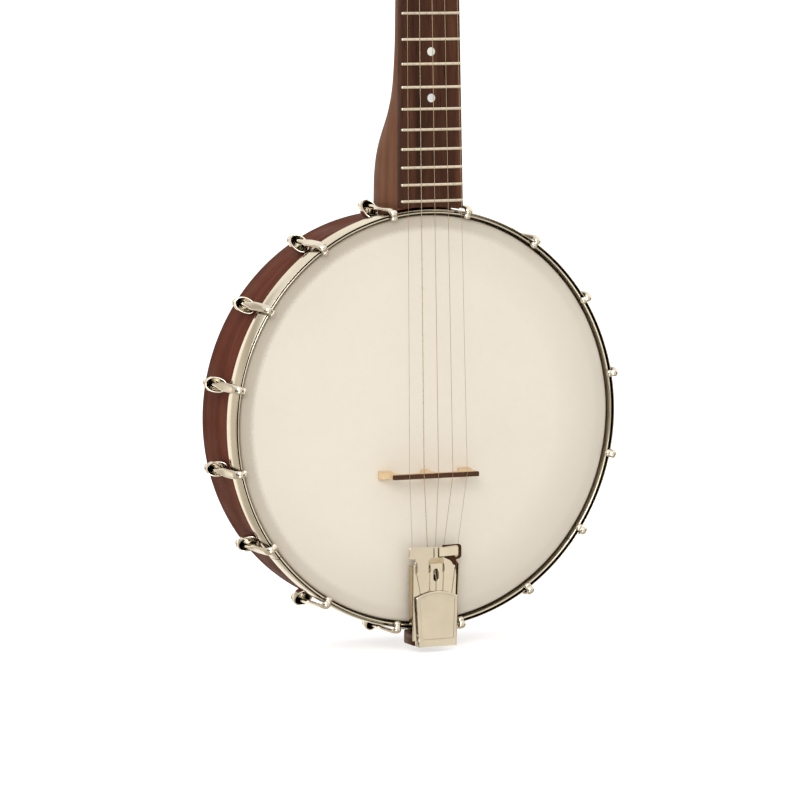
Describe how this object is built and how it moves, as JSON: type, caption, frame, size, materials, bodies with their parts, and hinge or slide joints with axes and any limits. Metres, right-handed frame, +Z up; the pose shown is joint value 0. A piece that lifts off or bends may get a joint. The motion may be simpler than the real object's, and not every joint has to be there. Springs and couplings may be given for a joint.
{
  "type": "five-string banjo",
  "caption": "Open-back long-necked string instrument: round wooden rim with a stretched head, hook-tensioned hoop, fretted neck, geared tuners, bridge and covered tailpiece.",
  "frame": {"origin": "on the flat back edge of the wooden rim, at its lowest point when the neck is upright, in the middle of the rim's wall; the rim's axis runs along Y at z = 0.1342 m", "axes": "+Z up the neck towards the headstock, +Y out of the rim's open back, so the playing head faces -Y, +X to the right for a viewer facing the head (first-string side)"},
  "size_m": [0.3028, 0.0832, 0.9369],
  "materials": {
    "rim_wood": "satin lacquer, red-brown maple",
    "head_film": "lightly frosted coated film",
    "nickel_plate": "polished warm nickel plate",
    "hardware_plate": "slightly dulled nickel plate",
    "neck_wood": "satin lacquer, mid-brown maple",
    "fingerboard_wood": "open-grained dark wood, oiled",
    "bone": "polished ivory-coloured nut",
    "bridge_maple": "bare maple with a dark cap strip",
    "rod_steel": "plain steel rod",
    "string_steel": "bright steel wire",
    "button_plastic": "cream moulded buttons"
  },
  "bodies": {
    "instrument": {"rim": "rim_wood", "head": "head_film", "tension_hoop": "nickel_plate", "bracket_shoe_01": "hardware_plate", "bracket_shoe_02": "hardware_plate", "bracket_shoe_03": "hardware_plate", "bracket_shoe_04": "hardware_plate", "bracket_shoe_05": "hardware_plate", "bracket_shoe_06": "hardware_plate", "bracket_shoe_07": "hardware_plate", "bracket_shoe_08": "hardware_plate", "bracket_shoe_09": "hardware_plate", "bracket_shoe_10": "hardware_plate", "bracket_shoe_11": "hardware_plate", "bracket_shoe_12": "hardware_plate", "bracket_shoe_13": "hardware_plate", "bracket_shoe_14": "hardware_plate", "bracket_shoe_15": "hardware_plate", "bracket_shoe_16": "hardware_plate", "hook_and_nut_01": "hardware_plate", "hook_and_nut_02": "hardware_plate", "hook_and_nut_03": "hardware_plate", "hook_and_nut_04": "hardware_plate", "hook_and_nut_05": "hardware_plate", "hook_and_nut_06": "hardware_plate", "hook_and_nut_07": "hardware_plate", "hook_and_nut_08": "hardware_plate", "hook_and_nut_09": "hardware_plate", "hook_and_nut_10": "hardware_plate", "hook_and_nut_11": "hardware_plate", "hook_and_nut_12": "hardware_plate", "hook_and_nut_13": "hardware_plate", "hook_and_nut_14": "hardware_plate", "hook_and_nut_15": "hardware_plate", "hook_and_nut_16": "hardware_plate", "neck": "neck_wood", "fingerboard": "fingerboard_wood", "string_nut": "bone", "coordinator_rod": "rod_steel", "tailpiece_base": "nickel_plate", "string_1": "string_steel", "string_2": "string_steel", "string_3": "string_steel", "string_4": "string_steel", "string_5": "string_steel", "tuner_housing_1": "nickel_plate", "tuner_housing_2": "nickel_plate", "tuner_housing_3": "nickel_plate", "tuner_housing_4": "nickel_plate"},
    "bridge": {"bridge": "bridge_maple"},
    "tailpiece_cover": {"tailpiece_cover": "nickel_plate"},
    "fifth_string_peg": {"fifth_string_peg": "nickel_plate"},
    "tuner_button_1": {"tuner_button_1": "button_plastic"},
    "tuner_post_1": {"tuner_post_1": "nickel_plate"},
    "tuner_button_2": {"tuner_button_2": "button_plastic"},
    "tuner_post_2": {"tuner_post_2": "nickel_plate"},
    "tuner_button_3": {"tuner_button_3": "button_plastic"},
    "tuner_post_3": {"tuner_post_3": "nickel_plate"},
    "tuner_button_4": {"tuner_button_4": "button_plastic"},
    "tuner_post_4": {"tuner_post_4": "nickel_plate"}
  },
  "joints": [
    {"name": "tailpiece_cover_hinge", "type": "hinge", "parent": "instrument", "child": "tailpiece_cover", "pos_m": [0.0013, -0.0766, -0.0204], "axis": [1, 0, 0], "range_deg": [0, 100]},
    {"name": "bridge_slide", "type": "slide", "parent": "instrument", "child": "bridge", "axis": [0, 0, 1], "range_m": [-0.005, 0.005], "deforming": ["string_1", "string_2", "string_3", "string_4", "string_5"]},
    {"name": "fifth_peg_turn", "type": "hinge", "parent": "instrument", "child": "fifth_string_peg", "pos_m": [0, -0.05648, 0.60746], "axis": [-1, 0, 0], "continuous": true},
    {"name": "tuner_button_1_turn", "type": "hinge", "parent": "instrument", "child": "tuner_button_1", "pos_m": [0, -0.02545, 0.81345], "axis": [1, 0, 0], "continuous": true},
    {"name": "tuner_post_1_turn", "type": "hinge", "parent": "instrument", "child": "tuner_post_1", "pos_m": [0.0195, -0.04684, 0.81198], "axis": [0, -0.9702, 0.2423], "continuous": true},
    {"name": "tuner_button_2_turn", "type": "hinge", "parent": "instrument", "child": "tuner_button_2", "pos_m": [0, -0.01236, 0.86584], "axis": [1, 0, 0], "continuous": true},
    {"name": "tuner_post_2_turn", "type": "hinge", "parent": "instrument", "child": "tuner_post_2", "pos_m": [0.0195, -0.03376, 0.86438], "axis": [0, -0.9702, 0.2423], "continuous": true},
    {"name": "tuner_button_3_turn", "type": "hinge", "parent": "instrument", "child": "tuner_button_3", "pos_m": [0, -0.01236, 0.86584], "axis": [-1, 0, 0], "continuous": true},
    {"name": "tuner_post_3_turn", "type": "hinge", "parent": "instrument", "child": "tuner_post_3", "pos_m": [-0.0195, -0.03376, 0.86438], "axis": [0, -0.9702, 0.2423], "continuous": true},
    {"name": "tuner_button_4_turn", "type": "hinge", "parent": "instrument", "child": "tuner_button_4", "pos_m": [0, -0.02545, 0.81345], "axis": [-1, 0, 0], "continuous": true},
    {"name": "tuner_post_4_turn", "type": "hinge", "parent": "instrument", "child": "tuner_post_4", "pos_m": [-0.0195, -0.04684, 0.81198], "axis": [0, -0.9702, 0.2423], "continuous": true}
  ],
  "couplings": [
    {"joint": "tuner_post_1_turn", "follows": "tuner_button_1_turn", "ratio": -0.071429},
    {"joint": "tuner_post_2_turn", "follows": "tuner_button_2_turn", "ratio": -0.071429},
    {"joint": "tuner_post_3_turn", "follows": "tuner_button_3_turn", "ratio": 0.071429},
    {"joint": "tuner_post_4_turn", "follows": "tuner_button_4_turn", "ratio": 0.071429}
  ]
}
